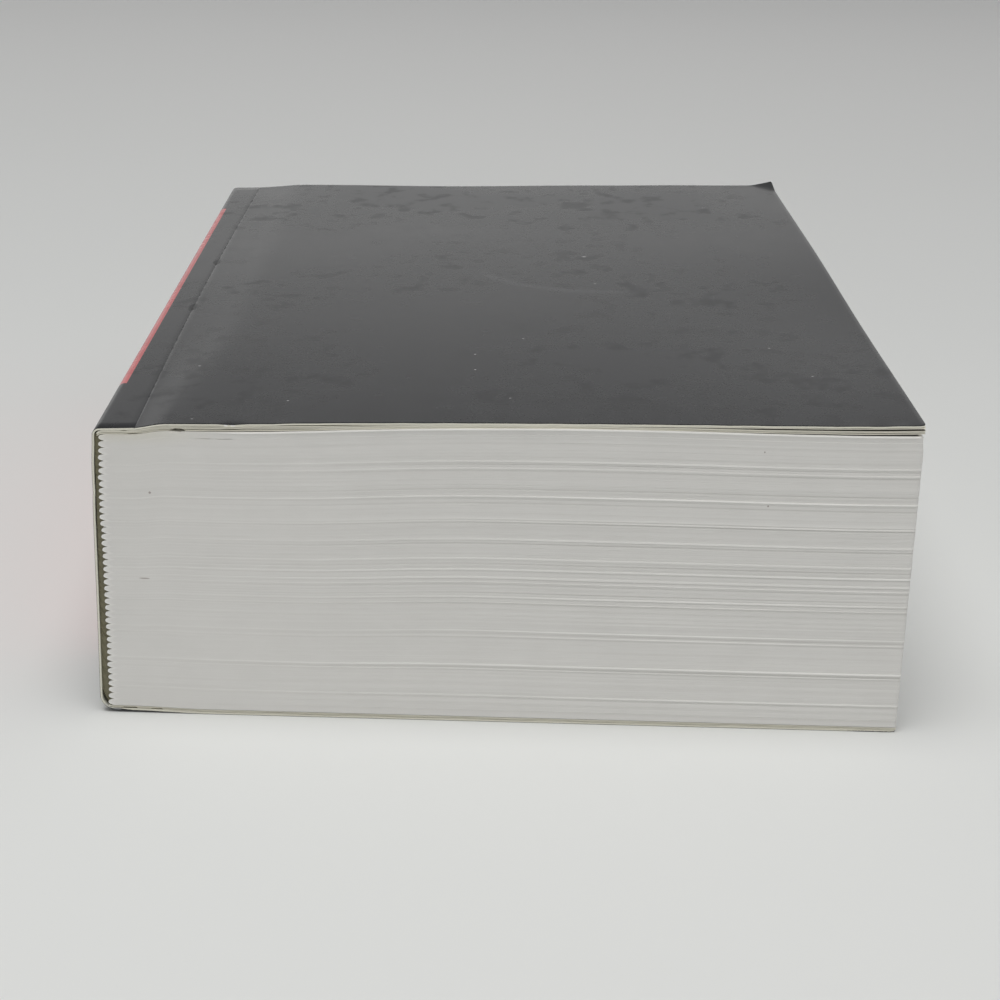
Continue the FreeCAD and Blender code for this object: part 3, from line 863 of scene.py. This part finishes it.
# Black on the cut edge: worn film, and beside the spine also painted shadow of the gap under the lifted
# cover.
film_wear_and_gap_shadow = add_node(tree, "ShaderNodeAttribute", attribute_name="film_wear_and_gap_shadow").outputs["Fac"]
frayed = maths(tree, "MULTIPLY_ADD", noise(tree, place, 2200.0, 2.0, 0.6), 0.5, -0.25)
blackened = ramp_between(tree, maths(tree, "ADD", film_wear_and_gap_shadow, frayed), 0.0, 0.14)
card_colour = mixed(tree, blackened, card_colour, (0.018, 0.018, 0.019, 1))
chipped = spots(tree, place, (
    ((SPINE_X + 24.6 * MM, TAIL_Y, 58.25 * MM), 0.45 * MM),
    ((SPINE_X + 25.9 * MM, TAIL_Y, 58.2 * MM), 0.5 * MM),
))
card_colour = mixed(tree, chipped, card_colour, (0.92, 0.91, 0.88, 1))
scuffed = spots(tree, place, (
    ((SPINE_X + 1.6 * MM, TAIL_Y, 1.5 * MM), 1.0 * MM),
    ((SPINE_X + 3.2 * MM, TAIL_Y, 0.9 * MM), 1.2 * MM),
))
card_colour = mixed(tree, maths(tree, "MULTIPLY", scuffed, 0.55), card_colour, (0.40, 0.41, 0.42, 1))
join(tree, card_colour, shader, "Base Color")
grain = {"Strength": 0.3, "Distance": 0.04 * MM, "Height": fibre.outputs["Height"]}
bump = add_node(tree, "ShaderNodeBump", grain)
join(tree, bump.outputs["Normal"], shader, "Normal")

# Black print under matt film: clouded by handling, with dull smudges, rubs, pale specks and a crease, whose
# dark dashed line is painted shade.
laminate, tree, shader = new_material("black_film", 0.27, 0.25)
place = object_place(tree)
parts = add_node(tree, "ShaderNodeSeparateXYZ", {0: place}).outputs
smudges = noise(tree, scaled(tree, place, (1.0, 0.8, 1.0)), 170.0, 3.0, 0.55, 0.1)
patches = noise(tree, place, 17.0, 2.0, 0.5)
rubs = noise(tree, scaled(tree, place, (110.0, 300.0, 110.0)), 1.0, 3.0, 0.6, 0.8)
dust_and_gap_shade = noise(tree, place, 2600.0, 1.0, 0.5)
cloud = maths(tree, "ADD", maths(tree, "MULTIPLY", smudges, 0.5), maths(tree, "MULTIPLY", patches, 0.5))
cloud = ramp_between(tree, cloud, 0.38, 0.62)
black = mixed(tree, cloud, (0.010, 0.0105, 0.012, 1), (0.017, 0.018, 0.020, 1))
handled = ramp_between(tree, patches, 0.36, 0.60)
smudged = maths(tree, "MULTIPLY", ramp_between(tree, smudges, 0.50, 0.32), handled)
rubbed = maths(tree, "MULTIPLY", ramp_between(tree, rubs, 0.63, 0.78), 0.35)
black = mixed(tree, rubbed, black, (0.055, 0.057, 0.060, 1))
dusted = maths(tree, "MULTIPLY", ramp_between(tree, dust_and_gap_shade, 0.66, 0.72), 0.10)
black = mixed(tree, dusted, black, (0.3, 0.3, 0.3, 1))

# Single marks on the front cover: pale specks and scuffs, one long curved rub, two dull nicks on the crease
# with painted shade in them.
on_front = maths(tree, "GREATER_THAN", parts["Z"], 0.05)
flat_place = scaled(tree, place, (1.0, 1.0, 0.0))


def on_cover(from_spine, above_tail):
    """A place on the front cover, from the spine and from the tail in mm, as seen from above."""
    return (SPINE_X + from_spine * MM, TAIL_Y + above_tail * MM, 0)


pale = spots(tree, flat_place, (
    (on_cover(95.9, 137.7), 0.65 * MM),
    (on_cover(97.3, 109.8), 0.35 * MM),
    (on_cover(70.0, 47.5), 0.3 * MM),
    (on_cover(70.1, 36.0), 0.3 * MM),
    (on_cover(34.7, 14.6), 0.3 * MM),
    (on_cover(76.9, 16.1), 0.28 * MM),
    (on_cover(131.0, 55.1), 0.3 * MM),
    (on_cover(137.1, 33.9), 0.3 * MM),
    (on_cover(14.8, 39.5), 0.35 * MM),
    (on_cover(18.0, 3.0), 0.28 * MM),
    (on_cover(80.0, 60.0), 0.25 * MM),
))
nicks = spots(tree, scaled(tree, flat_place, (1.0, 0.3, 0.0)), (
    ((SPINE_X + 6.9 * MM, 0.3 * (TAIL_Y + 134.6 * MM), 0), 1.1 * MM),
    ((SPINE_X + 6.9 * MM, 0.3 * (TAIL_Y + 90.0 * MM), 0), 1.2 * MM),
))
RUB_CENTRE = (SPINE_X + 99.0 * MM, TAIL_Y + 131.4 * MM, 0)
RUB_RADIUS = 29.5 * MM
to_rub = add_node(tree, "ShaderNodeVectorMath", {0: flat_place, 1: RUB_CENTRE},
                  operation="DISTANCE").outputs["Value"]
off_rub = maths(tree, "ABSOLUTE", maths(tree, "SUBTRACT", to_rub, RUB_RADIUS))
near_rub = add_node(tree, "ShaderNodeVectorMath", {0: flat_place, 1: on_cover(86.0, 106.0)},
                    operation="DISTANCE").outputs["Value"]
long_rub = maths(tree, "MULTIPLY", ramp_between(tree, off_rub, 2.4 * MM, 0.0),
                 ramp_between(tree, near_rub, 26 * MM, 14 * MM))
black = mixed(tree, maths(tree, "MULTIPLY", long_rub, on_front), black, (0.034, 0.035, 0.038, 1))
black = mixed(tree, maths(tree, "MULTIPLY", maths(tree, "MULTIPLY", pale, on_front), 0.8), black,
              (0.42, 0.42, 0.42, 1))
# Painted shade in the two nicks on the crease, which are also duller.
black = mixed(tree, maths(tree, "MULTIPLY", maths(tree, "MULTIPLY", nicks, on_front), 0.5), black,
              (0.004, 0.004, 0.004, 1))

from_crease = add_node(tree, "ShaderNodeAttribute", attribute_name="crease").outputs["Fac"]
crease_gap = maths(tree, "ABSOLUTE", from_crease)
broken = ramp_between(tree, noise(tree, scaled(tree, place, (0.0, 1.0, 0.0)), 260.0, 3.0, 0.7), 0.46, 0.62)
# Painted shade along the crease, in broken dashes; the crease is also duller.
crease_line = maths(tree, "MULTIPLY", ramp_between(tree, crease_gap, 0.32, 0.06), broken)
black = mixed(tree, maths(tree, "MULTIPLY", crease_line, 0.6), black, (0.004, 0.004, 0.005, 1))
on_panel = maths(tree, "MULTIPLY",
                 maths(tree, "LESS_THAN", maths(tree, "ABSOLUTE", parts["Y"]), PANEL_END),
                 maths(tree, "LESS_THAN", parts["X"], SPINE_X + PANEL_WRAP))
red = mixed(tree, cloud, (0.46, 0.095, 0.10, 1), (0.55, 0.125, 0.13, 1))
colour = mixed(tree, on_panel, black, red)
join(tree, colour, shader, "Base Color")
rough = maths(tree, "MULTIPLY_ADD", cloud, 0.03, 0.25)
rough = maths(tree, "MULTIPLY_ADD", smudged, 0.07, rough)
rough = maths(tree, "MULTIPLY_ADD", rubbed, 0.10, rough)
rough = maths(tree, "MULTIPLY_ADD", crease_line, 0.12, rough)
rough = maths(tree, "MULTIPLY_ADD", maths(tree, "MULTIPLY", nicks, on_front), 0.09, rough)
join(tree, rough, shader, "Roughness")
film_grain = noise(tree, place, 5200.0, 1.0, 0.5)
film_height = maths(tree, "MULTIPLY_ADD", film_grain, 0.2, maths(tree, "MULTIPLY", smudges, 0.05))
bump = add_node(tree, "ShaderNodeBump", {"Strength": 0.08, "Distance": 0.12 * MM, "Height": film_height})
join(tree, bump.outputs["Normal"], shader, "Normal")

for material in (laminate, cream_card):
    spine.data.materials.append(material)
face_out(spine)
thicken(spine, CARD, -1, 1)


def film_wear_and_shadow_at_spine(found):
    """The film shows round the two corners of the spine panel, most at the bottom one, where the black is
    also painted shadow of the gap under the lifted corner.
    """
    bottom = 0.3 + 0.8 * bell(found[:, 0], SPINE_X + 3.4 * MM, 1.8 * MM)
    top = 0.3 * smooth(found[:, 2], 54 * MM, 56.5 * MM)
    return bottom * (1 - smooth(found[:, 2], 1 * MM, 4 * MM)) + top - 0.1


mark_film_wear_and_shadow(spine, film_wear_and_shadow_at_spine)
show_film_edge(spine, SCORE.x, 0.07 * MM)
soften(spine, 25)
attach(spine, "text_block")
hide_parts("spine_cover")

# The front cover: the same card from the score to the fore edge. It rises past the score, is a little
# hollow towards the head, and its head corner is bent up.
cover_columns = np.concatenate([
    np.linspace(0, 1.0, 6),
    np.linspace(1.5, 6, 10),
    np.linspace(7.5, 21, 10),
    np.linspace(25, 133, 28),
    np.linspace(134.5, 145.25, 11),
]) * MM + SCORE.x
cover_columns[-1] = FORE_X
cover_rows = np.concatenate([
    [0, 0.3, 0.7, 1.3, 2.2, 3.6],
    np.linspace(6, 210, 52),
    np.linspace(212, 226.6, 13),
    [227.4, 228.0, 228.6],
]) * MM + TAIL_Y


DOG_EAR = 6 * MM
DOG_EAR_LIFT = 1.05 * MM


def dog_ear(x, y):
    """The head corner at the fore edge is bent up along a short slanting line."""
    from_corner = (FORE_X - x) + 0.62 * (HEAD_Y - y)
    return DOG_EAR_LIFT * np.clip(1 - from_corner / DOG_EAR, 0, 1) ** 1.2


CORNER_WEAR = 0.28 * MM


def blunt_corners(found):
    """Rounds the two outer corners of a cover a little, as use does."""
    for edge_y, turn in ((TAIL_Y, 1), (HEAD_Y, -1)):
        near = np.exp(-(((FORE_X - found[:, 0]) + turn * (found[:, 1] - edge_y)) / (0.7 * MM)) ** 2)
        found[:, 0] -= CORNER_WEAR * near
        found[:, 1] += turn * CORNER_WEAR * near


front = new_sheet("front_cover_card", cover_columns, cover_rows)
placed = points(front)
from_spine = (placed[:, 0] - SPINE_X) / MM
at_tail_edge = np.exp(-(placed[:, 1] - TAIL_Y) / (0.9 * MM))
placed[:, 2] = cover_height(placed[:, 0], placed[:, 1]) + dog_ear(placed[:, 0], placed[:, 1])
knock = bell(from_spine, 25.6, 1.6) * at_tail_edge
placed[:, 2] -= 0.14 * MM * knock
placed[:, 2] += 0.03 * MM * at_tail_edge * np.sin(from_spine * 0.9) * smooth(from_spine, 12, 30)
blunt_corners(placed)
placed[:, 0] -= (FORE_X - fore_edge(placed[:, 1])) * smooth(from_spine, 60, 145)
set_points(front, placed)
mark_points(front, "crease", "FLOAT", np.full(len(placed), FAR_FROM_CREASE))
for material in (laminate, cream_card):
    front.data.materials.append(material)
thicken(front, CARD, -1, 1)
mark_film_wear_and_shadow(front, lambda found: np.full(len(found), -0.1))
show_film_edge(front, SCORE.x, 0.10 * MM)
soften(front, 25)
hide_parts("front_cover")
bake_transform(front)

# The back cover: the same card on the underside, flat on the table but for the stretch beside the
# spine, where the block's weight has lifted it a little.
back = new_sheet("back_cover_card", cover_columns, cover_rows)
placed = points(back)
placed[:, 2] = back_lift(placed[:, 0])
blunt_corners(placed)
set_points(back, placed)
mark_points(back, "crease", "FLOAT", np.full(len(placed), FAR_FROM_CREASE))
for material in (laminate, cream_card):
    back.data.materials.append(material)
face_out(back)
thicken(back, CARD, -1, 1)


def film_wear_and_shadow_underneath(found):
    """The film shows round the lower edge beside the spine and at the fore corners; beside the spine the
    black is also painted shadow of the gap under the lifted cover.
    """
    u = (found[:, 0] - SPINE_X) / MM
    return 0.35 * (1 - smooth(u, 8, 18)) + 0.6 * smooth(u, 140, 146) - 0.1


mark_film_wear_and_shadow(back, film_wear_and_shadow_underneath)
show_film_edge(back, BACK_SCORE.x, 0.08 * MM)
soften(back, 25)
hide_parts("back_cover")
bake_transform(back)

# The studio: a pale painted table, an even pale room and one large soft lamp above. The camera stands
# where the photograph was taken, square to the tail and a little above the book.
bpy.ops.object.select_all(action="DESELECT")
bpy.ops.mesh.primitive_plane_add(size=24, location=(0, 0, 0))
table_top = bpy.context.object
table_top.name = "table_top"
painted, tree, shader = new_material("painted_table", 0.55, 0.3)
place = object_place(tree)
washes = noise(tree, place, 3.0, 3.0, 0.5)
table_colour = mixed(tree, washes, (0.745, 0.76, 0.75, 1), (0.785, 0.795, 0.785, 1))
# Painted light: the table is painted paler further from the camera, where the lamp's light falls off.
away = ramp_between(tree, add_node(tree, "ShaderNodeSeparateXYZ", {0: place}).outputs["Y"], 0.15, 1.1)
join(tree, mixed(tree, away, table_colour, (0.93, 0.935, 0.92, 1)), shader, "Base Color")
table_top.data.materials.append(painted)

# The room is paler near the table than overhead, as walls are below a ceiling in shade.
world = bpy.data.worlds.new("room")
world.use_nodes = True
tree = world.node_tree
direction = add_node(tree, "ShaderNodeTexCoord").outputs["Generated"]
upward = add_node(tree, "ShaderNodeSeparateXYZ", {0: direction}).outputs["Z"]
overhead = ramp_between(tree, upward, 0.15, 0.31)
room = mixed(tree, overhead, (0.94, 0.94, 0.93, 1), (0.25, 0.25, 0.255, 1))
tree.links.new(room, tree.nodes["Background"].inputs["Color"])
bpy.context.scene.world = world

bpy.ops.object.light_add(type="AREA", location=(-0.15, -0.45, 1.65))
lamp = bpy.context.object
lamp.name = "ceiling_lamp"
lamp.rotation_euler = (-0.27, -0.09, 0)
lamp.data.shape = "DISK"
lamp.data.size = 1.3
lamp.data.energy = 20.5
lamp.data.color = (1.0, 0.99, 0.97)

camera_data = bpy.data.cameras.new("camera")
camera_data.lens = 77.76
camera_data.sensor_width = 36
camera_data.clip_start = 0.01
camera = bpy.data.objects.new("camera", camera_data)
bpy.context.scene.collection.objects.link(camera)
CAMERA_PLACE = Vector((-6.945 * MM, -493.01 * MM, 177.43 * MM))
aside = -0.01495
downward = 0.33572
tilted = 0.03301
turn = Matrix.Rotation(aside, 4, "Z") @ Matrix.Rotation(math.pi / 2 - downward, 4, "X")
turn = turn @ Matrix.Rotation(tilted, 4, "Z")
camera.matrix_world = Matrix.Translation(CAMERA_PLACE) @ turn
bpy.context.scene.camera = camera
bpy.context.scene.view_settings.view_transform = "Standard"
